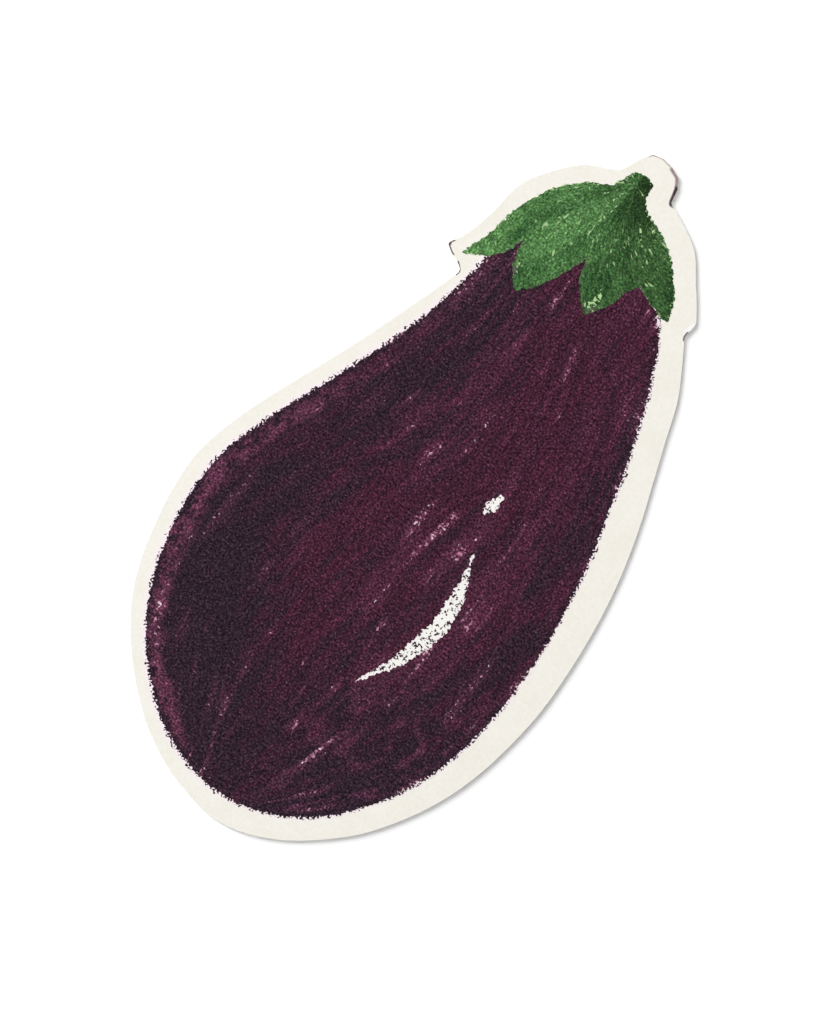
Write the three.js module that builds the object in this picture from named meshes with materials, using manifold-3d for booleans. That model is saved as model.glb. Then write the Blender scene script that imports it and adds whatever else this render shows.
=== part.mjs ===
// A die-cut sticker that lies face up: a release liner in two halves, the adhesive, the face sheet
// and the printed figure of an eggplant on it. Millimetres. +Y runs from the figure's blossom end
// to its stem, +Z is the printed face, and the origin is under the middle of the outline's box.
import * as THREE from 'three';
import { mergeVertices } from 'three/addons/utils/BufferGeometryUtils.js';
import Module from 'manifold-3d';

const wasm = await Module();
wasm.setup();

// Thickness of each layer.
const LINER_THICKNESS = 0.19;
const ADHESIVE_THICKNESS = 0.03;
const FACE_THICKNESS = 0.18;
const INK_THICKNESS = 0.03;

// The peel slit runs straight across the liner.
const SLIT_WIDTH = 0.1;
const SLIT_Y = 8;

// The knife turns its corners over this length, and the ink's corners are softer.
const KNIFE_CORNER = 0.35;
const INK_CORNER = 0.5;

// Spacing of the points along an outline, and pieces in a rounded corner.
const CUT_STEP = 1.2;
const INK_STEP = 1.0;
const CORNER_SEGMENTS = 4;

// A point this close to the line between its neighbours adds nothing to an outline.
const FLAT_ENOUGH = 0.004;

// Bare line between the two inks.
const INK_GAP = 0.05;

// The cut outline, counterclockwise from the neck right of the stem. Each run is one smooth curve
// through its points, and a run starts at the corner where the one before it ended.
const CUT_RUNS = [
  // Stem tip, left shoulder and the outside of the left lobe.
  [
    [0.52, 35.1], [0.35, 35.9], [0.02, 37.0], [-0.6, 37.65], [-1.6, 37.95], [-2.7, 38.1],
    [-3.75, 37.85], [-4.4, 36.95], [-4.8, 35.9], [-5.4, 34.65], [-6.6, 33.97], [-8.35, 33.05],
    [-9.7, 31.6], [-10.85, 30.0], [-11.85, 28.35], [-12.32, 26.45], [-12.45, 24.45],
    [-12.77, 22.5], [-13.3, 20.6], [-14.12, 19.05],
  ],
  // Foot of the left lobe.
  [[-14.12, 19.05], [-13.0, 18.4], [-12.2, 18.2], [-11.48, 17.65]],
  // Left flank, round blossom end and right flank.
  [
    [-11.48, 17.65], [-12.3, 14.8], [-13.5, 11.05], [-14.73, 7.25], [-16.05, 3.5],
    [-17.45, -0.2], [-18.8, -3.9], [-19.95, -7.75], [-20.6, -11.6], [-20.35, -15.6],
    [-19.55, -19.5], [-18.4, -23.3], [-16.62, -26.85], [-14.17, -30.0], [-11.33, -32.75],
    [-8.13, -35.1], [-4.56, -36.85], [-0.7, -37.8], [1.6, -38.1], [4.9, -37.55], [8.5, -35.8],
    [11.6, -33.35], [14.35, -30.47], [16.53, -27.15], [18.27, -23.6], [19.49, -19.8],
    [20.19, -15.9], [20.6, -11.0], [20.4, -6.5], [19.9, -2.0], [19.2, 1.9], [18.2, 5.8],
    [16.95, 9.57], [15.5, 13.27], [14.05, 16.97], [12.6, 20.7], [10.57, 24.07], [9.36, 25.9],
  ],
  // Short step at the tip of the right lobe.
  [[9.36, 25.9], [9.45, 26.6], [9.52, 27.5]],
  // Right shoulder.
  [
    [9.52, 27.5], [8.27, 29.2], [6.95, 30.72], [5.72, 32.3], [4.6, 33.3], [3.0, 34.12],
    [1.4, 34.85], [0.52, 35.1],
  ],
];

// The fruit's outline, without the calyx that covers its top.
const FRUIT_RUNS = [
  [
    [-3.0, 29.5], [-7.6, 27.3], [-10.0, 22.6], [-10.7, 17.0], [-11.8, 11.6], [-13.4, 6.2],
    [-15.4, 0.7], [-17.3, -4.5], [-18.8, -10.2], [-18.7, -15.8], [-17.4, -21.6],
    [-14.9, -26.8], [-11.3, -31.0], [-6.6, -34.3], [-1.0, -35.9], [4.4, -35.3], [9.6, -32.3],
    [13.3, -28.0], [15.9, -22.8], [17.2, -17.0], [17.55, -10.6], [17.0, -4.2], [15.8, 2.0],
    [14.1, 8.2], [12.1, 14.4], [9.7, 20.4], [6.6, 25.6], [2.0, 28.8], [-3.0, 29.5],
  ],
];

// The calyx: a short stem, a cap over the shoulders and four pointed lobes.
const CALYX_RUNS = [
  // Left of the stem, left shoulder and the outside of the left lobe.
  [
    [-4.1, 35.4], [-4.8, 33.7], [-5.6, 32.7], [-7.6, 31.4], [-9.5, 29.0], [-10.8, 26.1],
    [-11.4, 22.8], [-12.5, 19.0],
  ],
  // Inside of the left lobe, then the two middle lobes.
  [[-12.5, 19.0], [-10.7, 20.2], [-9.2, 22.0], [-8.5, 24.0]],
  [[-8.5, 24.0], [-7.9, 21.6], [-6.3, 19.4]],
  [[-6.3, 19.4], [-4.6, 21.6], [-3.4, 24.2], [-2.7, 26.3]],
  [[-2.7, 26.3], [-1.7, 23.9], [0.4, 21.7]],
  [[0.4, 21.7], [1.6, 23.9], [2.2, 25.8], [2.9, 27.1]],
  // Underside of the right lobe.
  [[2.9, 27.1], [4.9, 26.4], [7.3, 25.8]],
  // Outside of the right lobe, right shoulder and right of the stem.
  [
    [7.3, 25.8], [6.6, 27.7], [4.9, 29.8], [3.0, 31.5], [1.0, 32.5], [-0.8, 33.0], [-1.6, 34.0],
    [-1.95, 35.5],
  ],
  // Cut end of the stem.
  [[-1.95, 35.5], [-3.0, 35.75], [-4.1, 35.4]],
];

// The highlights are bare paper: a long crescent and a short dash above it.
const CRESCENT_RUNS = [
  [[6.2, -2.6], [7.0, -7.8], [6.7, -13.2], [4.7, -19.6]],
  [[4.7, -19.6], [7.7, -14.6], [8.7, -8.8], [6.2, -2.6]],
];
const DASH_RUNS = [
  [[5.0, 3.4], [4.3, 2.0], [4.5, 0.6]],
  [[4.5, 0.6], [5.5, 1.9], [5.0, 3.4]],
];

const CREAM = '#f3f0e6';
const PLUM = '#4a2d3c';
const GREEN = '#3f6b3c';
const CLEAR_GUM = '#d9d4c4';
const LINER_PAPER = '#ece6d6';

// Leaves out the points that lie almost on the line from the last kept point to the next.
function withoutFlatPoints(points) {
  const kept = [];
  points.forEach((point, i) => {
    const before = kept.at(-1) ?? points.at(-1);
    const along = points[(i + 1) % points.length].clone().sub(before);
    const distance = Math.abs(along.cross(point.clone().sub(before))) / along.length();
    if (distance > FLAT_ENOUGH) {
      kept.push(point);
    }
  });
  return kept;
}

// Points of a closed outline: each run is sampled evenly, and short curves round its corners.
function outlinePoints(runs, step, corner) {
  const stretches = runs.map((run) => {
    const curve = new THREE.CatmullRomCurve3(run.map(([x, y]) => new THREE.Vector3(x, y, 0)));
    const length = curve.getLength();
    const first = runs.length > 1 ? corner / length : 0;
    const count = Math.max(2, Math.round(length / step));
    const samples = [];
    for (let i = 0; i <= count; i += 1) {
      const point = curve.getPointAt(first + (1 - 2 * first) * (i / count));
      samples.push(new THREE.Vector2(point.x, point.y));
    }
    return samples;
  });
  if (stretches.length === 1) {
    return withoutFlatPoints(stretches[0].slice(0, -1));
  }
  const points = stretches.flatMap((samples, i) => {
    const next = stretches[(i + 1) % stretches.length];
    const turn = new THREE.Vector2(...runs[i].at(-1));
    const round = new THREE.QuadraticBezierCurve(samples.at(-1), turn, next[0]);
    return [...samples, ...round.getPoints(CORNER_SEGMENTS).slice(1, -1)];
  });
  return withoutFlatPoints(points);
}

// The same outline moved outwards along its own normals.
function grown(points, distance) {
  return points.map((point, i) => {
    const before = points.at(i - 1);
    const after = points[(i + 1) % points.length];
    const along = after.clone().sub(before).normalize();
    return new THREE.Vector2(point.x + along.y * distance, point.y - along.x * distance);
  });
}

// A flat layer of an outline, with holes, between two heights.
function layer(outline, bottom, thickness, holes = []) {
  const shape = new THREE.Shape(outline);
  shape.holes = holes.map((hole) => new THREE.Path(hole));
  const geometry = new THREE.ExtrudeGeometry(shape, { depth: thickness, bevelEnabled: false });
  geometry.translate(0, 0, bottom);
  return geometry;
}

function toSolid(geometry) {
  const bare = geometry.clone();
  bare.deleteAttribute('normal');
  bare.deleteAttribute('uv');
  const merged = mergeVertices(bare);
  return new wasm.Manifold(new wasm.Mesh({
    numProp: 3,
    vertProperties: new Float32Array(merged.attributes.position.array),
    triVerts: new Uint32Array(merged.index.array),
  }));
}

function toGeometry(solid) {
  const mesh = solid.getMesh();
  const geometry = new THREE.BufferGeometry();
  geometry.setAttribute('position', new THREE.BufferAttribute(mesh.vertProperties, 3));
  geometry.setIndex(new THREE.BufferAttribute(mesh.triVerts, 1));
  geometry.computeVertexNormals();
  return geometry;
}

function cut(geometry, cutter) {
  return toGeometry(toSolid(geometry).subtract(toSolid(cutter)));
}

function piece(name, geometry, color, roughness) {
  const material = new THREE.MeshStandardMaterial({ color, roughness, metalness: 0 });
  const mesh = new THREE.Mesh(geometry, material);
  mesh.name = name;
  return mesh;
}

// A block that covers one side of the slit, to cut one half of the liner away.
function sideBlock(outline, direction) {
  const box = new THREE.Box2().setFromPoints(outline);
  const width = 2 * (box.max.x - box.min.x);
  const length = 2 * (box.max.y - box.min.y);
  const block = new THREE.BoxGeometry(width, length, 4 * LINER_THICKNESS);
  const edge = SLIT_Y - (direction * SLIT_WIDTH) / 2;
  block.translate(0, edge + (direction * length) / 2, 0);
  return block;
}

const cutOutline = outlinePoints(CUT_RUNS, CUT_STEP, KNIFE_CORNER);
const fruitOutline = outlinePoints(FRUIT_RUNS, INK_STEP, INK_CORNER);
const calyxOutline = outlinePoints(CALYX_RUNS, INK_STEP, INK_CORNER);
const crescentOutline = outlinePoints(CRESCENT_RUNS, INK_STEP, INK_CORNER);
const dashOutline = outlinePoints(DASH_RUNS, INK_STEP, INK_CORNER);

const adhesiveBottom = LINER_THICKNESS;
const faceBottom = adhesiveBottom + ADHESIVE_THICKNESS;
const inkBottom = faceBottom + FACE_THICKNESS;

const linerSheet = layer(cutOutline, 0, LINER_THICKNESS);
const linerStemHalf = cut(linerSheet, sideBlock(cutOutline, -1));
const linerBlossomHalf = cut(linerSheet, sideBlock(cutOutline, 1));

const fruitSheet = layer(fruitOutline, inkBottom, INK_THICKNESS, [crescentOutline, dashOutline]);
const calyxCutter = layer(grown(calyxOutline, INK_GAP), inkBottom - INK_THICKNESS, 3 * INK_THICKNESS);

const sticker = new THREE.Group();
sticker.add(
  piece('liner_stem_half', linerStemHalf, LINER_PAPER, 0.75),
  piece('liner_blossom_half', linerBlossomHalf, LINER_PAPER, 0.75),
  piece('adhesive', layer(cutOutline, adhesiveBottom, ADHESIVE_THICKNESS), CLEAR_GUM, 0.35),
  piece('face_sheet', layer(cutOutline, faceBottom, FACE_THICKNESS), CREAM, 0.8),
  piece('print_fruit', cut(fruitSheet, calyxCutter), PLUM, 0.7),
  piece('print_calyx', layer(calyxOutline, inkBottom, INK_THICKNESS), GREEN, 0.7),
);

export default sticker;
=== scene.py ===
import math

import bmesh
import bpy
import numpy as np
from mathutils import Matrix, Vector, noise


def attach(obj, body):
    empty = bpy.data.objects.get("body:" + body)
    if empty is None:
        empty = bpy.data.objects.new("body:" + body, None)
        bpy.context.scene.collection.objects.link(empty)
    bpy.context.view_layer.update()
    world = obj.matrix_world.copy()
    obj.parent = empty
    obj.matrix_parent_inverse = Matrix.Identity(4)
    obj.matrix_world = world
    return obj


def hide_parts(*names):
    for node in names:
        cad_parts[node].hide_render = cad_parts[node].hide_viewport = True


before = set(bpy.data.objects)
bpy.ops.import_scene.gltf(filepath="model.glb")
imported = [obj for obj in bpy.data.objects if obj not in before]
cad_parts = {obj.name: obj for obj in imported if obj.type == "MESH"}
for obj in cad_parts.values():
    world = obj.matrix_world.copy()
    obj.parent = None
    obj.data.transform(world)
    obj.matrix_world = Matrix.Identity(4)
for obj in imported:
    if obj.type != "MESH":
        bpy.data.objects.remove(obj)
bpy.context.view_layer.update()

# Pieces are shaped in millimetres and made metres when they are finished.
MM = 0.001
TO_MM = 1000.0

# Cells of the fine grid that carries the distances and the stroke directions over a flat face.
GRID = 0.4

# A face is flat when its normal rises this far.
LEVEL = 0.9

# Rounded rims of the cut sheets.
RIM_RADIUS = 0.05
LINER_RIM_RADIUS = 0.03

# A crayon's edge wanders slowly and breaks into teeth. Spacing of its points, then each wave's
# length and how far it moves the edge, and the most that the edge is moved.
EDGE_SPACING = 0.09
EDGE_WAVES = ((3.1, 0.16), (0.7, 0.2), (0.25, 0.26))
EDGE_LIMIT = 0.32

# Each ink has a waver of its own, and the calyx's edge is calmer than the fruit's.
FRUIT_SEED = 3.7
CALYX_SEED = 9.1
CALYX_WAVER = 0.62
CALYX_SEAM_CALM = 0.1

# The fruit's ink lies this much lower than the calyx's, which laps over its edge. The two outlines
# are within the gap of each other at their seam, and the waver changes over the blend beside it.
FRUIT_STEP = 0.006
LAP = 0.14
SEAM_GAP = 0.12
SEAM_BLEND = 0.6

# Strokes on the fruit: rows where its width is taken, the width that they are drawn for on each
# side of the middle, and the narrowest half width that they close in to.
FLOW_ROWS = (-35.5, 19.6, 0.5)
FLOW_HALF = 18
NARROWEST_HALF = 7

# Strokes on the calyx run out from the stem's foot. A radian round it counts as this much.
STEM_FOOT = (-3.2, 34.5)
RADIAN_WIDTH = 9

# The corner where the white core shows most, and how far round it.
CORE_CORNER = ((9.9, 26.6, 0.4), 1.1)


def paint(red, green, blue):
    """A colour as a screen shows it, from 0 to 255, as the shader's linear colour."""
    def linear(value):
        share = value / 255
        return share / 12.92 if share <= 0.04045 else ((share + 0.055) / 1.055) ** 2.4
    return (linear(red), linear(green), linear(blue), 1.0)


WHITE = (1, 1, 1, 1)
CREAM = paint(235, 232, 224)
CREAM_WARM = paint(231, 227, 217)
CORE_WHITE = paint(238, 238, 236)
PLUM = paint(68, 32, 48)
PLUM_DEEP = paint(54, 29, 42)
PLUM_LIGHT = paint(94, 50, 72)
PLUM_PALE = paint(112, 60, 84)
SLATE = paint(44, 31, 41)
SKIP_TINT = paint(176, 124, 146)
FRINGE = paint(238, 226, 230)
MAUVE = paint(126, 100, 112)
LEAF = paint(63, 99, 55)
LEAF_DEEP = paint(43, 76, 42)
LEAF_LIGHT = paint(92, 134, 79)
LEAF_SKIP = paint(172, 202, 146)
SEAM_TINT = paint(92, 84, 84)
LINER_WHITE = paint(232, 226, 212)
LINER_FIBRE = paint(205, 194, 172)
GUM = paint(214, 208, 190)
FLOOR_WHITE = paint(254, 254, 254)

# Slivers of ink that the knife left at the edge: place, reach, width, strength and colour.
SLIVERS = (
    ((-2.6, 37.8, 0.4), 1.6, 0.22, 0.6, MAUVE),
    ((-0.4, 37.2, 0.4), 1.5, 0.42, 0.85, MAUVE),
    ((0.5, 35.9, 0.4), 1.15, 0.42, 0.95, PLUM_DEEP),
    ((-13.7, 18.8, 0.4), 1.0, 0.24, 0.9, PLUM_DEEP),
    ((-11.7, 17.8, 0.4), 0.8, 0.22, 0.9, PLUM_DEEP),
    ((9.4, 26.0, 0.4), 0.55, 0.26, 0.9, SLATE),
)

# Matte waxy ink, and how strongly the grain and the hatching change its colour.
INK_ROUGHNESS = 0.85
INK_SPECULAR = 0.04
FRUIT_GRAIN = 105.0
LEAF_GRAIN = 26.0
HATCHING = 7.0


# Measuring the flat outlines

def millimetre_form(node):
    """The node's mesh as one merged body, in millimetres."""
    form = bmesh.new()
    form.from_mesh(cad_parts[node].data)
    bmesh.ops.scale(form, vec=(TO_MM, TO_MM, TO_MM), verts=form.verts)
    bmesh.ops.remove_doubles(form, verts=form.verts, dist=0.0005)
    form.normal_update()
    return form


def top_faces(form):
    """The faces of the flat upper side."""
    lowest = max(v.co.z for v in form.verts) - 0.001
    return [f for f in form.faces if f.normal.z > LEVEL and f.calc_center_median().z > lowest]


def outline_steps(form):
    """Each vertex on the upper side's outlines with the next one, the material on their left."""
    upper = set(top_faces(form))
    steps = {}
    for face in upper:
        for loop in face.loops:
            if any(f not in upper for f in loop.edge.link_faces) or len(loop.edge.link_faces) == 1:
                steps[loop.vert] = loop.link_loop_next.vert
    return steps


def outline_segments(node):
    """The node's upper outlines as an array of segments, each with its two ends in x and y."""
    form = millimetre_form(node)
    segments = np.array([[a.co.xy[:], b.co.xy[:]] for a, b in outline_steps(form).items()])
    form.free()
    return segments


def loops_of(segments):
    """The separate closed outlines in an array of segments."""
    starts = {tuple(np.round(s[0], 4)): i for i, s in enumerate(segments)}
    left = set(range(len(segments)))
    loops = []
    while left:
        at = min(left)
        loop = []
        while at in left:
            left.remove(at)
            loop.append(at)
            at = starts[tuple(np.round(segments[at][1], 4))]
        loops.append(segments[loop])
    return loops


def distances(points, segments):
    """How far each point is from the nearest segment."""
    start = segments[:, 0]
    along = segments[:, 1] - start
    length2 = (along ** 2).sum(1)
    nearest = np.empty(len(points))
    for first in range(0, len(points), 4000):
        chunk = points[first:first + 4000, None, :] - start[None]
        share = np.clip((chunk * along).sum(2) / length2, 0, 1)
        nearest[first:first + 4000] = np.sqrt(((chunk - share[..., None] * along) ** 2).sum(2)).min(1)
    return nearest


def inside(points, segments):
    """Whether each point lies inside the outlines, by counting the segments above it."""
    x, y = points[:, 0, None], points[:, 1, None]
    (x0, y0), (x1, y1) = segments[:, 0].T, segments[:, 1].T
    spans = (x0 > x) != (x1 > x)
    with np.errstate(divide="ignore", invalid="ignore"):
        height = y0 + (x - x0) / (x1 - x0) * (y1 - y0)
    return (spans & (height > y)).sum(1) % 2 == 1


cut_line = outline_segments("face_sheet")
fruit_line = outline_segments("print_fruit")
calyx_line = outline_segments("print_calyx")

# The part of the fruit's outline that meets the calyx's ink, and the rest.
seam = distances(fruit_line.mean(1), calyx_line) < SEAM_GAP
fruit_seam_line = fruit_line[seam]
fruit_free_line = fruit_line[~seam]

# The bare highlights are the fruit's shorter outlines. Its outer outline is the longest.
fruit_loops = sorted(loops_of(fruit_line), key=len)
highlight_line = np.concatenate(fruit_loops[:-1])
fruit_rim_line = fruit_loops[-1][distances(fruit_loops[-1].mean(1), calyx_line) >= SEAM_GAP]


# Shaping helpers

def add_grid(form, faces):
    """Cuts flat faces along a square grid, so that a value can change across them."""
    geometry = set(faces)
    for face in faces:
        geometry.update(face.edges)
        geometry.update(face.verts)
    geometry = list(geometry)
    xs = [v.co.x for f in faces for v in f.verts]
    ys = [v.co.y for f in faces for v in f.verts]
    for values, direction in ((xs, Vector((1, 0, 0))), (ys, Vector((0, 1, 0)))):
        for place in np.arange(min(values) + GRID / 2, max(values), GRID):
            geometry = bmesh.ops.bisect_plane(
                form, geom=geometry, dist=0.0005, plane_co=direction * place, plane_no=direction
            )["geom"]


def finished(form, name, materials, node):
    """Makes the object in metres, which rides on the body and stands for the node."""
    bmesh.ops.triangulate(form, faces=[f for f in form.faces if len(f.verts) > 4])
    bmesh.ops.scale(form, vec=(MM, MM, MM), verts=form.verts)
    mesh = bpy.data.meshes.new(name)
    form.to_mesh(mesh)
    form.free()
    for material in materials:
        mesh.materials.append(material)
    piece = bpy.data.objects.new(name, mesh)
    bpy.context.scene.collection.objects.link(piece)
    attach(piece, "root")
    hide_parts(node)
    return piece


def flat_places(piece):
    """The piece's vertices in millimetres, x and y."""
    places = np.empty(len(piece.data.vertices) * 3)
    piece.data.vertices.foreach_get("co", places)
    return places.reshape(-1, 3)[:, :2] * TO_MM


def store(piece, name, values):
    """Keeps one value, or one vector, for each of the piece's vertices."""
    values = np.asarray(values, float)
    kind = "FLOAT" if values.ndim == 1 else "FLOAT_VECTOR"
    attribute = piece.data.attributes.new(name, kind, "POINT")
    attribute.data.foreach_set("value" if values.ndim == 1 else "vector", values.ravel())


def cut_sheet(node, radius):
    """A cut sheet with rounded rims above and below, its sides marked with the second material."""
    form = millimetre_form(node)
    bmesh.ops.dissolve_limit(form, angle_limit=0.001, verts=form.verts, edges=form.edges)
    rims = []
    for edge in form.edges:
        level = [abs(face.normal.z) > LEVEL for face in edge.link_faces]
        if sorted(level) == [False, True]:
            rims.append(edge)
    bmesh.ops.bevel(
        form, geom=rims, offset=radius, affect="EDGES", segments=2, profile=0.5, material=-1,
        clamp_overlap=True
    )
    form.normal_update()
    for face in form.faces:
        face.material_index = 0 if face.normal.z > 0.99 else 1
    return form


def edge_waver(place):
    """How far a crayon's edge stands out at this place, in millimetres."""
    return sum(size * noise.noise(place / length) for length, size in EDGE_WAVES)


def crossed(starts, ends):
    """Which of the segments cross another one. Segments that share an end don't count."""
    along = ends - starts

    def sides(points):
        away = points[None] - starts[:, None]
        return along[:, None, 0] * away[..., 1] - along[:, None, 1] * away[..., 0]

    apart = sides(starts) * sides(ends) < 0
    return (apart & apart.T).any(1)


def wavered(places, after, before, moves):
    """The outline's places moved along their outward normals, less where it would cross itself."""
    along = places[after] - places[before]
    outwards = np.column_stack([along[:, 1], -along[:, 0]]) / np.hypot(along[:, 0], along[:, 1])[:, None]
    for _ in range(40):
        moved = places + outwards * moves[:, None]
        tangled = crossed(moved, moved[after])
        if not tangled.any():
            break
        tangled |= tangled[before]
        tangled |= tangled[before] | tangled[after]
        moves = np.where(tangled, moves * 0.7, moves)
    return moved


def crayon_film(node, drop, free_share, seed):
    """An ink film with a crayon's broken edge. free_share gives, for the places on the outline,
    how much of the waver they have and how far they are moved out."""
    form = millimetre_form(node)
    heights = [v.co.z for v in form.verts]
    low, high = min(heights), max(heights) - drop
    upper = set(top_faces(form))
    bmesh.ops.delete(form, geom=[f for f in form.faces if f not in upper], context="FACES")
    for edge in [e for e in form.edges if e.is_boundary]:
        cuts = round(edge.calc_length() / EDGE_SPACING) - 1
        if cuts > 0:
            bmesh.ops.subdivide_edges(form, edges=[edge], cuts=cuts)
    rim = {e for e in form.edges if e.is_boundary}
    following = {e.link_loops[0].vert: e.link_loops[0].link_loop_next.vert for e in rim}
    bmesh.ops.delete(form, geom=form.faces[:], context="FACES_ONLY")
    bmesh.ops.delete(form, geom=[e for e in form.edges if e not in rim], context="EDGES")
    number = {vertex: i for i, vertex in enumerate(following)}
    after = np.array([number[vertex] for vertex in following.values()])
    before = np.empty_like(after)
    before[after] = np.arange(len(after))
    places = np.array([vertex.co.xy[:] for vertex in following])
    share, out = free_share(places)
    waver = np.array([edge_waver(Vector((x, y, seed))) for x, y in places])
    moves = np.clip(out + share * waver, -EDGE_LIMIT, EDGE_LIMIT)
    for vertex, (x, y) in zip(following, wavered(places, after, before, moves)):
        vertex.co = (x, y, high)
    bmesh.ops.triangle_fill(form, use_beauty=True, edges=form.edges[:], normal=(0, 0, 1))
    copied = bmesh.ops.extrude_face_region(form, geom=form.faces[:], use_keep_orig=True)["geom"]
    lowered = [v for v in copied if isinstance(v, bmesh.types.BMVert)]
    bmesh.ops.translate(form, vec=(0, 0, low - high), verts=lowered)
    bmesh.ops.recalc_face_normals(form, faces=form.faces)
    form.normal_update()
    add_grid(form, top_faces(form))
    return form


# Shader helpers

def fill(tree, node, inputs):
    """Fills a node's inputs with values or with other sockets."""
    for key, value in inputs.items():
        if isinstance(value, bpy.types.NodeSocket):
            tree.links.new(value, node.inputs[key])
        else:
            node.inputs[key].default_value = value


def put(tree, kind, inputs=None, **settings):
    """Adds a shader node, sets its options and fills its inputs."""
    made = tree.nodes.new("ShaderNode" + kind)
    for name, value in settings.items():
        setattr(made, name, value)
    fill(tree, made, inputs or {})
    return made


def calc(tree, operation, first, second):
    return put(tree, "Math", {0: first, 1: second}, operation=operation).outputs[0]


def times(tree, first, second):
    return calc(tree, "MULTIPLY", first, second)


def plus(tree, first, second):
    return calc(tree, "ADD", first, second)


def less(tree, first, second):
    """The first with the second taken away."""
    return calc(tree, "SUBTRACT", first, second)


def fade(tree, value, start, end):
    """0 up to start and 1 from end on, smooth between them. The two may be in either order."""
    inputs = {"Value": value, "From Min": start, "From Max": end}
    return put(tree, "MapRange", inputs, interpolation_type="SMOOTHSTEP").outputs["Result"]


def mix(tree, share, first, second):
    """The first colour, going over to the second with share."""
    return put(tree, "Mix", {0: share, 6: first, 7: second}, data_type="RGBA").outputs[2]


def shaded(tree, value, factor):
    """The colour made lighter or darker."""
    return put(tree, "VectorMath", {0: value, "Scale": factor}, operation="SCALE").outputs[0]


def stretched(tree, vector, x, y, z=1.0):
    """The vector with each part multiplied, so that a pattern on it is drawn out."""
    return put(tree, "VectorMath", {0: vector, 1: (x, y, z)}, operation="MULTIPLY").outputs[0]


def parts_of(tree, vector):
    """The vector's X, Y and Z."""
    return put(tree, "SeparateXYZ", {0: vector}).outputs


def leaned(tree, flow, lean):
    """The strokes' direction turned aside, by lean across for each millimetre along."""
    parts = parts_of(tree, flow)
    across = plus(tree, parts["X"], times(tree, parts["Y"], lean))
    return put(tree, "CombineXYZ", {"X": across, "Y": parts["Y"], "Z": parts["Z"]}).outputs[0]


def cloud(tree, vector, scale, detail=2.0, roughness=0.5, distortion=0.0):
    """Soft noise from 0 to 1, mostly near 0.5."""
    inputs = {"Vector": vector, "Scale": scale, "Detail": detail, "Roughness": roughness}
    inputs["Distortion"] = distortion
    return put(tree, "TexNoise", inputs).outputs["Fac"]


def streaks(tree, vector, x, y, z=1.0, **settings):
    """Soft noise drawn out into streaks: how many of them to a millimetre, in each direction."""
    return cloud(tree, stretched(tree, vector, x, y, z), 1.0, **settings)


def millimetre_place(tree):
    """The place on the piece in millimetres."""
    return stretched(tree, put(tree, "TexCoord").outputs["Object"], TO_MM, TO_MM, TO_MM)


def stored(tree, name, output="Fac"):
    """A value that the piece keeps for its vertices."""
    return put(tree, "Attribute", attribute_name=name).outputs[output]


def shader_group(name, inputs, outputs):
    """A node group with named inputs and outputs: its tree, its input sockets and its output node."""
    tree = bpy.data.node_groups.new(name, "ShaderNodeTree")
    for title, kind in inputs.items():
        tree.interface.new_socket(title, in_out="INPUT", socket_type="NodeSocket" + kind)
    for title in outputs:
        tree.interface.new_socket(title, in_out="OUTPUT", socket_type="NodeSocketFloat")
    entry = tree.nodes.new("NodeGroupInput")
    return tree, entry.outputs, tree.nodes.new("NodeGroupOutput")


def placed_group(tree, group, inputs):
    """Places a node group in a material, fills its inputs and gives its outputs."""
    return put(tree, "Group", inputs, node_tree=group).outputs


# Shared effects

def wax_grain_group():
    """Fine grain of wax on toothed paper, as a factor for its colour, and its height."""
    inputs = {"Place": "Vector", "Contrast": "Float"}
    tree, entry, leave = shader_group("wax grain", inputs, ["Shade", "Height"])
    fine = cloud(tree, entry["Place"], 5.0, detail=0.0, distortion=0.4)
    finer = cloud(tree, entry["Place"], 8.5, detail=0.0)
    both = plus(tree, times(tree, fine, 0.68), times(tree, finer, 0.32))
    shade = calc(tree, "POWER", entry["Contrast"], less(tree, both, 0.5))
    fill(tree, leave, {"Shade": shade, "Height": both})
    return tree


def stroke_group():
    """Crayon strokes along a direction: short lines, and broad overlapping bands, both patchy."""
    inputs = {"Flow": "Vector", "Lean": "Float"}
    tree, entry, leave = shader_group("crayon strokes", inputs, ["Lines", "Bands"])
    leaning = leaned(tree, entry["Flow"], entry["Lean"])
    lines = streaks(tree, leaning, 1.15, 0.2, detail=3.0, roughness=0.62, distortion=0.5)
    bands = streaks(tree, leaning, 0.3, 0.06, detail=3.0, roughness=0.6, distortion=0.7)
    fill(tree, leave, {"Lines": fade(tree, lines, 0.3, 0.7), "Bands": fade(tree, bands, 0.34, 0.66)})
    return tree


def skip_group():
    """Spots where the wax skips over the paper: a few lines of them, and more near the ink's edge."""
    inputs = {"Place": "Vector", "Flow": "Vector", "Edge": "Float", "Amount": "Float", "Patches": "Float"}
    tree, entry, leave = shader_group("wax skips", inputs, ["Bare", "Thin"])
    lines = fade(tree, streaks(tree, entry["Flow"], 0.6, 0.09, detail=3.0), 0.52, 0.66)
    here = fade(tree, cloud(tree, entry["Place"], entry["Patches"], detail=1.0), 0.4, 0.56)
    along = times(tree, times(tree, lines, here), entry["Amount"])
    rim = times(tree, fade(tree, entry["Edge"], 1.5, 0.0), entry["Amount"])
    cover = calc(tree, "MINIMUM", plus(tree, along, times(tree, rim, 0.5)), 1.05)
    # Larger spots where the cover is high, and fine ones on the last half millimetre.
    dots = cloud(tree, entry["Place"], 3.6, detail=1.0)
    threshold = less(tree, 0.86, times(tree, cover, 0.33))
    grouped = fade(tree, less(tree, dots, threshold), -0.015, 0.09)
    fine_dots = cloud(tree, entry["Place"], 4.6, detail=0.0)
    fine_threshold = less(tree, 0.9, times(tree, fade(tree, entry["Edge"], 0.5, -0.1), 0.5))
    verge = fade(tree, less(tree, fine_dots, fine_threshold), -0.02, 0.06)
    fill(tree, leave, {"Bare": calc(tree, "MAXIMUM", grouped, verge), "Thin": along})
    return tree


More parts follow.
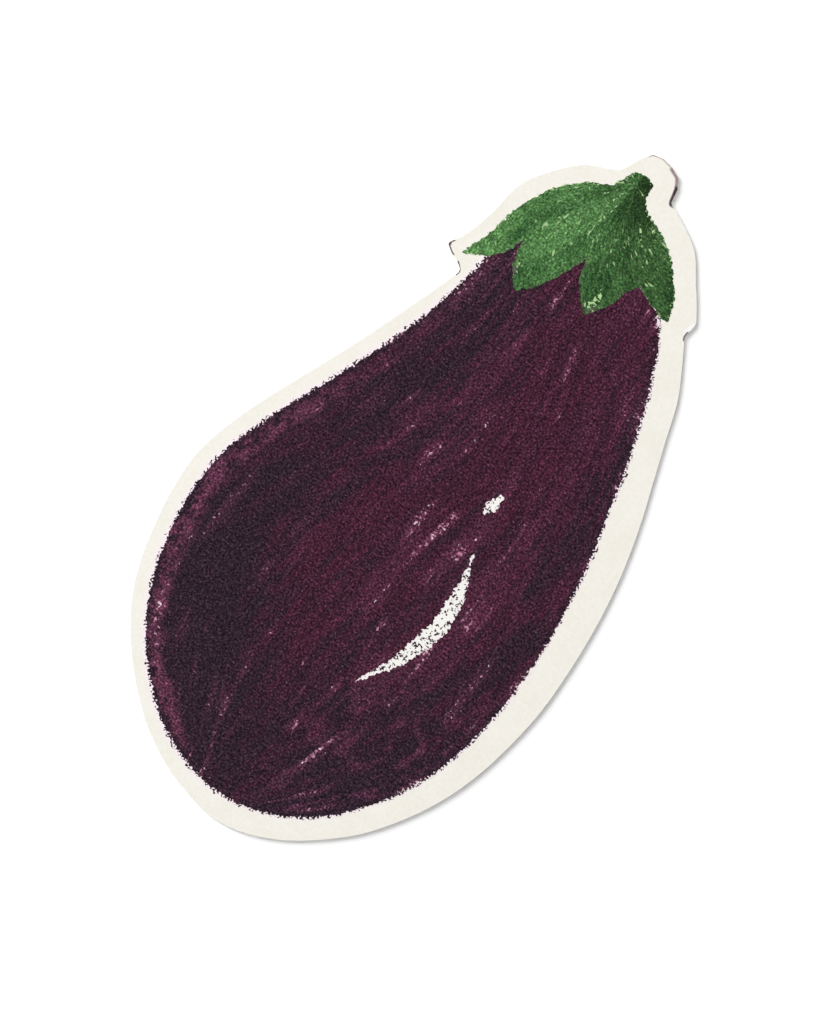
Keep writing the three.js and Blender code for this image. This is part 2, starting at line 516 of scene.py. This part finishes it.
def stray_wax_group():
    """Crumbs of wax on the bare paper, thinning out with the distance from the ink."""
    inputs = {"Place": "Vector", "Distance": "Float", "Reach": "Float", "Cover": "Float"}
    tree, entry, leave = shader_group("stray wax", inputs, ["Wax"])
    dots = cloud(tree, entry["Place"], 3.4, detail=2.0, roughness=0.6)
    far = calc(tree, "DIVIDE", entry["Distance"], entry["Reach"])
    threshold = plus(tree, less(tree, 0.72, entry["Cover"]), times(tree, far, 0.2))
    fill(tree, leave, {"Wax": fade(tree, less(tree, dots, threshold), -0.01, 0.03)})
    return tree


def paper_tooth_group():
    """The mottle of matte paper and the height of its tooth."""
    tree, entry, leave = shader_group("paper tooth", {"Place": "Vector"}, ["Mottle", "Height"])
    wide = cloud(tree, entry["Place"], 0.35, detail=3.0, roughness=0.6)
    fine = cloud(tree, entry["Place"], 2.6, detail=2.0, roughness=0.55)
    both = plus(tree, times(tree, wide, 0.45), times(tree, fine, 0.55))
    fill(tree, leave, {"Mottle": fade(tree, both, 0.38, 0.62), "Height": fine})
    return tree


wax_grain = wax_grain_group()
strokes = stroke_group()
wax_skips = skip_group()
stray_wax = stray_wax_group()
paper_tooth = paper_tooth_group()


# Materials

def new_material(name, roughness, specular):
    """A material with a plain Principled BSDF, its tree and the shader."""
    material = bpy.data.materials.new(name)
    material.use_nodes = True
    shader = material.node_tree.nodes["Principled BSDF"]
    shader.inputs["Roughness"].default_value = roughness
    shader.inputs["Specular IOR Level"].default_value = specular
    return material, material.node_tree, shader


def relief(tree, shader, height, depth_mm, strength):
    bump = put(tree, "Bump", {"Height": height, "Distance": depth_mm * MM, "Strength": strength})
    tree.links.new(bump.outputs["Normal"], shader.inputs["Normal"])


def colour(tree, shader, value):
    tree.links.new(value, shader.inputs["Base Color"])


def near(tree, place, centre, reach):
    """1 within about reach of a point on the paper, in millimetres, fading to 0 at its end."""
    away = put(tree, "VectorMath", {0: place, 1: centre}, operation="DISTANCE").outputs["Value"]
    return fade(tree, away, reach, reach * 0.8)


def crumbs(tree, place, distance, reach, cover):
    """Where stray wax lies on the paper."""
    inputs = {"Place": place, "Distance": distance, "Reach": reach, "Cover": cover}
    return placed_group(tree, stray_wax, inputs)["Wax"]


def face_paper_material():
    """Cream printed ground with paper mottle, crumbs of wax near the inks and slivers of plum on
    the cut edge."""
    material, tree, shader = new_material("face paper", 0.85, 0.1)
    place = millimetre_place(tree)
    tooth = placed_group(tree, paper_tooth, {"Place": place})
    cut = stored(tree, "cut_mm")
    fruit = stored(tree, "fruit_mm")
    highlight = stored(tree, "highlight")
    ground = mix(tree, tooth["Mottle"], CREAM, CREAM_WARM)
    # White core where the ground stops short of the cut, wider at the corner by the right lobe.
    ragged = times(tree, less(tree, cloud(tree, place, 0.8), 0.5), 0.12)
    width = plus(tree, 0.05, times(tree, near(tree, place, *CORE_CORNER), 0.42))
    core_edge = fade(tree, less(tree, plus(tree, cut, ragged), width), 0.05, -0.02)
    ground = mix(tree, core_edge, ground, CORE_WHITE)
    ground = mix(tree, times(tree, highlight, 0.6), ground, CORE_WHITE)
    # A pale haze beside the fruit, strongest on its left side.
    haze = fade(tree, plus(tree, fruit, times(tree, ragged, 2.5)), 0.42, 0.08)
    leftwards = fade(tree, parts_of(tree, place)["X"], 6.0, -6.0)
    haze = times(tree, haze, plus(tree, times(tree, leftwards, 0.6), 0.4))
    ground = mix(tree, haze, ground, FRINGE)
    # Crumbs of wax beside both inks, and inside the bare highlights.
    beside_fruit = crumbs(tree, place, fruit, 0.25, 0.17)
    in_highlight = times(tree, crumbs(tree, place, 0.0, 1.0, 0.155), highlight)
    ground = mix(tree, calc(tree, "MAXIMUM", beside_fruit, in_highlight), ground, PLUM_DEEP)
    beside_calyx = crumbs(tree, place, stored(tree, "calyx_mm"), 0.22, 0.15)
    ground = mix(tree, beside_calyx, ground, LEAF)
    for centre, reach, width, strength, tone in SLIVERS:
        band = fade(tree, plus(tree, cut, times(tree, ragged, 1.3)), width, width * 0.6)
        share = times(tree, times(tree, band, near(tree, place, centre, reach)), strength)
        ground = mix(tree, share, ground, tone)
    colour(tree, shader, ground)
    relief(tree, shader, tooth["Height"], 0.014, 0.8)
    return material


def core_material():
    """The white core of the face sheet, as its cut edge shows it."""
    material, tree, shader = new_material("cut core", 0.85, 0.2)
    place = millimetre_place(tree)
    fibres = streaks(tree, place, 2.0, 2.0, 14.0, detail=3.0, roughness=0.6)
    colour(tree, shader, mix(tree, fade(tree, fibres, 0.35, 0.7), CORE_WHITE, CREAM))
    relief(tree, shader, fibres, 0.01, 0.5)
    return material


def slate_cover(tree, flow, left, low, right):
    """Slate strokes over the plum: heaviest on the left side and at the blossom end, where they
    also lie more evenly."""
    over = placed_group(tree, strokes, {"Flow": stretched(tree, flow, 1.3, 1.3), "Lean": -0.15})
    pattern = plus(tree, times(tree, over["Bands"], 0.55), times(tree, over["Lines"], 0.35))
    calm = less(tree, 1.0, times(tree, calc(tree, "MAXIMUM", left, low), 0.5))
    pattern = plus(tree, times(tree, less(tree, pattern, 0.47), calm), 0.47)
    weight = plus(tree, times(tree, left, 0.42), times(tree, low, 0.42))
    weight = plus(tree, weight, times(tree, right, 0.27))
    return fade(tree, plus(tree, pattern, weight), 0.5, 1.05)


def left_band(tree, place, edge, parts):
    """A lighter band of wax inside the fruit's left edge, patchy and of uneven width."""
    rough = times(tree, less(tree, cloud(tree, place, 0.55, detail=3.0), 0.5), 2.2)
    inward = plus(tree, edge, rough)
    band = times(tree, fade(tree, inward, 0.2, 0.7), fade(tree, inward, 2.4, 1.3))
    band = times(tree, band, fade(tree, parts["X"], -8.0, -14.0))
    lower = plus(tree, times(tree, fade(tree, parts["Y"], 6.0, -8.0), 0.65), 0.35)
    patchy = fade(tree, cloud(tree, place, 0.9, detail=3.0, roughness=0.6), 0.34, 0.56)
    return times(tree, times(tree, band, lower), patchy)


def fruit_ink_material():
    """Plum crayon with slate strokes over it, along the fruit, and skips that show the paper."""
    material, tree, shader = new_material("plum crayon ink", INK_ROUGHNESS, INK_SPECULAR)
    place = millimetre_place(tree)
    flow = stored(tree, "flow", "Vector")
    edge = stored(tree, "edge_mm")
    grain = placed_group(tree, wax_grain, {"Place": place, "Contrast": FRUIT_GRAIN})
    under = placed_group(tree, strokes, {"Flow": flow, "Lean": 0.05})
    parts = parts_of(tree, flow)
    left = fade(tree, parts["X"], 0.0, -12.0)
    right = fade(tree, parts["X"], 9.0, 17.0)
    low = fade(tree, parts["Y"], -4.0, -30.0)
    base = mix(tree, under["Lines"], PLUM_DEEP, PLUM)
    base = mix(tree, times(tree, fade(tree, under["Bands"], 0.4, 1.0), 0.22), base, PLUM_LIGHT)
    base = mix(tree, slate_cover(tree, flow, left, low, right), base, SLATE)
    # Blotches of both, low on the right side.
    blotch = streaks(tree, flow, 0.5, 0.34, detail=3.0, roughness=0.62, distortion=0.8)
    worked = times(tree, fade(tree, parts["Y"], -10.0, -20.0), fade(tree, parts["X"], 0.0, 9.0))
    base = mix(tree, times(tree, fade(tree, blotch, 0.5, 0.66), times(tree, worked, 0.42)), base, PLUM_LIGHT)
    base = mix(tree, times(tree, fade(tree, blotch, 0.5, 0.36), times(tree, worked, 0.8)), base, SLATE)
    # A lighter band inside the left edge, and a broken dark contour at the very edge.
    band = left_band(tree, place, edge, parts)
    base = mix(tree, times(tree, band, 0.52), base, PLUM_PALE)
    broken = fade(tree, cloud(tree, place, 0.8, detail=2.0), 0.4, 0.55)
    contour = times(tree, fade(tree, edge, 1.0, 0.35), broken)
    base = mix(tree, times(tree, contour, 0.75), base, SLATE)
    # Skips: fewer at both sides, more in the band and in the blotches.
    quiet = plus(tree, times(tree, left, 0.65), times(tree, right, 0.7))
    amount = less(tree, 0.95, times(tree, quiet, 0.6))
    amount = plus(tree, amount, times(tree, band, 0.25))
    amount = plus(tree, amount, times(tree, worked, 0.1))
    inputs = {"Place": place, "Flow": flow, "Edge": edge, "Amount": amount, "Patches": 0.17}
    skips = placed_group(tree, wax_skips, inputs)
    base = mix(tree, times(tree, skips["Thin"], 0.3), base, PLUM_PALE)
    base = shaded(tree, base, grain["Shade"])
    patches = fade(tree, cloud(tree, place, 1.7), 0.5, 0.74)
    pale = calc(tree, "MAXIMUM", patches, fade(tree, edge, 0.45, 0.15))
    base = mix(tree, skips["Bare"], base, mix(tree, pale, SKIP_TINT, FRINGE))
    colour(tree, shader, base)
    relief(tree, shader, grain["Height"], 0.015, 0.5)
    return material


def calyx_ink_material():
    """Green crayon, stroked outwards from the stem's foot, with fine hatching, flecks and skips."""
    material, tree, shader = new_material("green crayon ink", INK_ROUGHNESS, INK_SPECULAR)
    place = millimetre_place(tree)
    flow = stored(tree, "flow", "Vector")
    edge = stored(tree, "edge_mm")
    parts = parts_of(tree, flow)
    grain = placed_group(tree, wax_grain, {"Place": place, "Contrast": LEAF_GRAIN})
    marks = placed_group(tree, strokes, {"Flow": stretched(tree, flow, 1.8, 1.8), "Lean": 0.0})
    base = mix(tree, marks["Lines"], LEAF_DEEP, LEAF)
    base = mix(tree, times(tree, marks["Bands"], 0.65), base, LEAF_LIGHT)
    # Darker towards the right lobes and the stem.
    right = times(tree, fade(tree, parts["X"], -3.0, 7.0), 0.46)
    stem = times(tree, fade(tree, parts["Y"], 6.0, 2.5), 0.32)
    base = shaded(tree, base, less(tree, less(tree, 1.05, right), stem))
    base = shaded(tree, base, grain["Shade"])
    # Fine hatching that leans away from the lobes' own direction, and pale flecks along it.
    leaning = leaned(tree, flow, -0.42)
    hatch = streaks(tree, leaning, 5.2, 1.4, detail=1.0, distortion=0.3)
    base = shaded(tree, base, calc(tree, "POWER", HATCHING, less(tree, hatch, 0.5)))
    flecks = fade(tree, streaks(tree, leaning, 2.3, 1.0, detail=2.0), 0.62, 0.7)
    spread = fade(tree, cloud(tree, place, 0.22, detail=1.0), 0.42, 0.54)
    flecks = times(tree, times(tree, flecks, spread), fade(tree, parts["Y"], 3.0, 6.0))
    base = mix(tree, times(tree, flecks, 0.8), base, LEAF_SKIP)
    # Skips, tinted by the fruit's wax at the seam.
    inputs = {"Place": place, "Flow": stretched(tree, flow, 1.3, 1.3), "Edge": plus(tree, edge, 0.12)}
    inputs.update({"Amount": 1.15, "Patches": 0.4})
    skips = placed_group(tree, wax_skips, inputs)
    at_seam = fade(tree, stored(tree, "fruit_mm"), 0.4, 0.2)
    base = mix(tree, skips["Bare"], base, mix(tree, at_seam, LEAF_SKIP, SEAM_TINT))
    colour(tree, shader, base)
    relief(tree, shader, grain["Height"], 0.015, 0.5)
    return material


def liner_material():
    """Release paper: smooth, warm white, with faint long fibres."""
    material, tree, shader = new_material("release paper", 0.5, 0.4)
    place = millimetre_place(tree)
    fibres = streaks(tree, place, 0.5, 3.0, 6.0, detail=4.0, roughness=0.65)
    specks = cloud(tree, place, 1.4, detail=2.0, roughness=0.6)
    base = mix(tree, times(tree, fade(tree, fibres, 0.45, 0.72), 0.5), LINER_WHITE, LINER_FIBRE)
    base = mix(tree, times(tree, fade(tree, specks, 0.66, 0.74), 0.35), base, LINER_FIBRE)
    colour(tree, shader, base)
    relief(tree, shader, fibres, 0.01, 0.4)
    return material


def adhesive_material():
    """Clear gum, slightly yellow, uneven where the roller laid it."""
    material, tree, shader = new_material("gum", 0.35, 0.5)
    roller_marks = streaks(tree, millimetre_place(tree), 0.4, 1.6, detail=3.0)
    colour(tree, shader, mix(tree, fade(tree, roller_marks, 0.35, 0.7), GUM, CORE_WHITE))
    return material


# Pieces

def fruit_flow(places):
    """The strokes' direction on the fruit: across it, from one outline to the other, and along it,
    in millimetres."""
    rows = np.arange(*FLOW_ROWS)
    lefts, rights = [], []
    x, y = fruit_line[..., 0], fruit_line[..., 1]
    for row in rows:
        hit = (y[:, 0] > row) != (y[:, 1] > row)
        share = (row - y[hit, 0]) / (y[hit, 1] - y[hit, 0])
        crossings = x[hit, 0] + share * (x[hit, 1] - x[hit, 0])
        lefts.append(crossings.min())
        rights.append(crossings.max())
    left = np.interp(places[:, 1], rows, lefts)
    right = np.interp(places[:, 1], rows, rights)
    half = np.maximum((right - left) / 2, NARROWEST_HALF)
    across = (places[:, 0] - (left + right) / 2) / half * FLOW_HALF
    return np.column_stack([across, places[:, 1], np.zeros(len(places))])


def calyx_flow(places):
    """The strokes' direction on the calyx: round the stem's foot, and away from it."""
    away = places - np.array(STEM_FOOT)
    distance = np.hypot(away[:, 0], away[:, 1])
    angle = np.arctan2(away[:, 0], -away[:, 1])
    return np.column_stack([angle * RADIAN_WIDTH, distance, np.zeros(len(places))])


def highlight_share(places):
    """1 inside the bare highlights of the fruit, 0 elsewhere."""
    hole = inside(places, highlight_line)
    near_hole = distances(places, highlight_line) < GRID
    return (hole | near_hole).astype(float)


def face_sheet():
    form = cut_sheet("face_sheet", RIM_RADIUS)
    bmesh.ops.triangulate(form, faces=[f for f in form.faces if len(f.verts) > 4])
    form.normal_update()
    add_grid(form, top_faces(form))
    materials = (face_paper_material(), core_material())
    piece = finished(form, "cream_face_sheet", materials, "face_sheet")
    places = flat_places(piece)
    in_fruit = inside(places, fruit_line)
    in_calyx = inside(places, calyx_line)
    store(piece, "cut_mm", distances(places, cut_line))
    store(piece, "fruit_mm", np.where(in_fruit, 0, distances(places, fruit_free_line)))
    store(piece, "calyx_mm", np.where(in_calyx, 0, distances(places, calyx_line)))
    store(piece, "highlight", highlight_share(places))


def fruit_print():
    def free_share(places):
        return np.clip(distances(places, fruit_seam_line) / SEAM_BLEND, 0, 1), 0

    form = crayon_film("print_fruit", FRUIT_STEP, free_share, FRUIT_SEED)
    piece = finished(form, "plum_crayon_fruit", (fruit_ink_material(),), "print_fruit")
    places = flat_places(piece)
    store(piece, "flow", fruit_flow(places))
    store(piece, "edge_mm", distances(places, fruit_rim_line))


def calyx_print():
    def free_share(places):
        beside = np.clip(1 - distances(places, fruit_seam_line) / SEAM_BLEND, 0, 1)
        return CALYX_WAVER - CALYX_SEAM_CALM * beside, LAP * beside

    form = crayon_film("print_calyx", 0, free_share, CALYX_SEED)
    piece = finished(form, "green_crayon_calyx", (calyx_ink_material(),), "print_calyx")
    places = flat_places(piece)
    store(piece, "flow", calyx_flow(places))
    store(piece, "edge_mm", distances(places, calyx_line))
    store(piece, "fruit_mm", distances(places, fruit_seam_line))


def liner_halves():
    """Both halves of the release paper, the same on their faces and at their cut sides."""
    paper = liner_material()
    for half in ("stem_half", "blossom_half"):
        form = cut_sheet("liner_" + half, LINER_RIM_RADIUS)
        finished(form, "release_paper_" + half, (paper, paper), "liner_" + half)


def adhesive_layer():
    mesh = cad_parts["adhesive"].data
    mesh.materials.clear()
    mesh.materials.append(adhesive_material())


face_sheet()
fruit_print()
calyx_print()
liner_halves()
adhesive_layer()


# Floor, lights and camera

FLOOR_REACH = 3000
FLOOR_PATCH = 80
FLOOR_INSET = 0.3
FLOOR_DROP = 0.01

# The floor is helped to stay white from the first distance on, fully from the second.
FLOOR_FALLOFF = (42.0, 62.0)
FLOOR_HELP = 0.06

# The photo is turned by this much from the sticker's own axis. Its middle is over this place, and
# it takes in this height.
PHOTO_TURN = math.radians(38)
PHOTO_CENTRE = Vector((-0.751, -2.423, 0.4)) * MM
PHOTO_HEIGHT = 96.6 * MM
IMAGE_RIGHT = Vector((math.cos(PHOTO_TURN), math.sin(PHOTO_TURN), 0))
IMAGE_UP = Vector((-math.sin(PHOTO_TURN), math.cos(PHOTO_TURN), 0))
CAMERA_DISTANCE = 0.7
SENSOR = 36

# A soft light from overhead, and the key light from the upper left.
UP = Vector((0, 0, 1))
UPPER_LEFT = (IMAGE_UP - IMAGE_RIGHT).normalized()
OVERHEAD_WAY = UP + UPPER_LEFT * 0.07
OVERHEAD_DISTANCE = 2.0
OVERHEAD_STRENGTH = 1.3
OVERHEAD_SPREAD = math.radians(14)
KEY_WAY = UPPER_LEFT * 0.78 + UP * 0.625
KEY_DISTANCE = 1.0
KEY_POWER = 12.4
KEY_SIZE = 0.845

# The room's own light, from above and from below the floor.
ROOM_ABOVE = 0.03
ROOM_BELOW = 0.9


def floor_material():
    """White, also beyond the sticker, where the key light falls off."""
    material, tree, shader = new_material("white floor", 0.95, 0.0)
    away = put(tree, "VectorMath", {0: millimetre_place(tree)}, operation="LENGTH").outputs["Value"]
    help_share = times(tree, fade(tree, away, *FLOOR_FALLOFF), FLOOR_HELP)
    fill(tree, shader, {
        "Base Color": FLOOR_WHITE,
        "Emission Color": WHITE,
        "Emission Strength": help_share,
    })
    return material


def floor():
    """A wide floor, open under the sticker but for a narrow rim, so that light gets to its back."""
    form = bmesh.new()
    lines = (-FLOOR_REACH, -FLOOR_PATCH, FLOOR_PATCH, FLOOR_REACH)
    corners = [[form.verts.new((x, y, 0)) for x in lines] for y in lines]
    for row in range(3):
        for column in range(3):
            if (row, column) != (1, 1):
                left, right = corners[row][column:column + 2], corners[row + 1][column:column + 2]
                form.faces.new((left[0], left[1], right[1], right[0]))
    patch = [corners[1][1], corners[1][2], corners[2][2], corners[2][1]]
    edges = [form.edges.get((patch[i], patch[i - 1])) for i in range(4)]
    starts = loops_of(cut_line)[0][:, 0]
    order = np.arange(len(starts))
    inset = wavered(starts, np.roll(order, -1), np.roll(order, 1), np.full(len(starts), -FLOOR_INSET))
    ring = [form.verts.new((x, y, 0)) for x, y in inset]
    edges += [form.edges.new((ring[i], ring[i - 1])) for i in range(len(ring))]
    bmesh.ops.triangle_fill(form, use_beauty=True, edges=edges, normal=(0, 0, 1))
    bmesh.ops.translate(form, vec=(0, 0, -FLOOR_DROP), verts=form.verts)
    bmesh.ops.scale(form, vec=(MM, MM, MM), verts=form.verts)
    mesh = bpy.data.meshes.new("floor")
    form.to_mesh(mesh)
    form.free()
    mesh.materials.append(floor_material())
    plane = bpy.data.objects.new("floor", mesh)
    bpy.context.scene.collection.objects.link(plane)


def room():
    """Pale all round to the camera. It lights the underside, and hardly anything from above."""
    made = bpy.data.worlds.new("studio")
    made.use_nodes = True
    tree = made.node_tree
    direction = put(tree, "TexCoord").outputs["Generated"]
    below = fade(tree, parts_of(tree, direction)["Z"], 0.0, -0.1)
    lighting = plus(tree, times(tree, below, ROOM_BELOW), ROOM_ABOVE)
    seen = put(tree, "LightPath").outputs["Is Camera Ray"]
    strength = calc(tree, "MAXIMUM", seen, lighting)
    fill(tree, tree.nodes["Background"], {"Color": WHITE, "Strength": strength})
    bpy.context.scene.world = made


def light(name, kind, way, distance, energy, **settings):
    """A light that stands in a direction from the sticker and points at it."""
    data = bpy.data.lights.new(name, kind)
    data.energy = energy
    for key, value in settings.items():
        setattr(data, key, value)
    lamp = bpy.data.objects.new(name, data)
    direction = way.normalized()
    lamp.location = direction * distance
    lamp.rotation_euler = direction.to_track_quat("Z", "Y").to_euler()
    bpy.context.scene.collection.objects.link(lamp)


def camera():
    """Looks straight down, at the photo's turn and height."""
    data = bpy.data.cameras.new("camera")
    data.sensor_width = SENSOR
    data.sensor_fit = "AUTO"
    data.lens = SENSOR * CAMERA_DISTANCE / PHOTO_HEIGHT
    data.clip_start = 0.01
    eye = bpy.data.objects.new("camera", data)
    eye.location = PHOTO_CENTRE + UP * CAMERA_DISTANCE
    eye.rotation_euler = (0, 0, PHOTO_TURN)
    bpy.context.scene.collection.objects.link(eye)
    bpy.context.scene.camera = eye


floor()
room()
light("overhead", "SUN", OVERHEAD_WAY, OVERHEAD_DISTANCE, OVERHEAD_STRENGTH, angle=OVERHEAD_SPREAD)
light("key", "AREA", KEY_WAY, KEY_DISTANCE, KEY_POWER, size=KEY_SIZE, shape="DISK")
camera()
bpy.context.scene.view_settings.view_transform = "Standard"
bpy.context.scene.view_settings.look = "None"
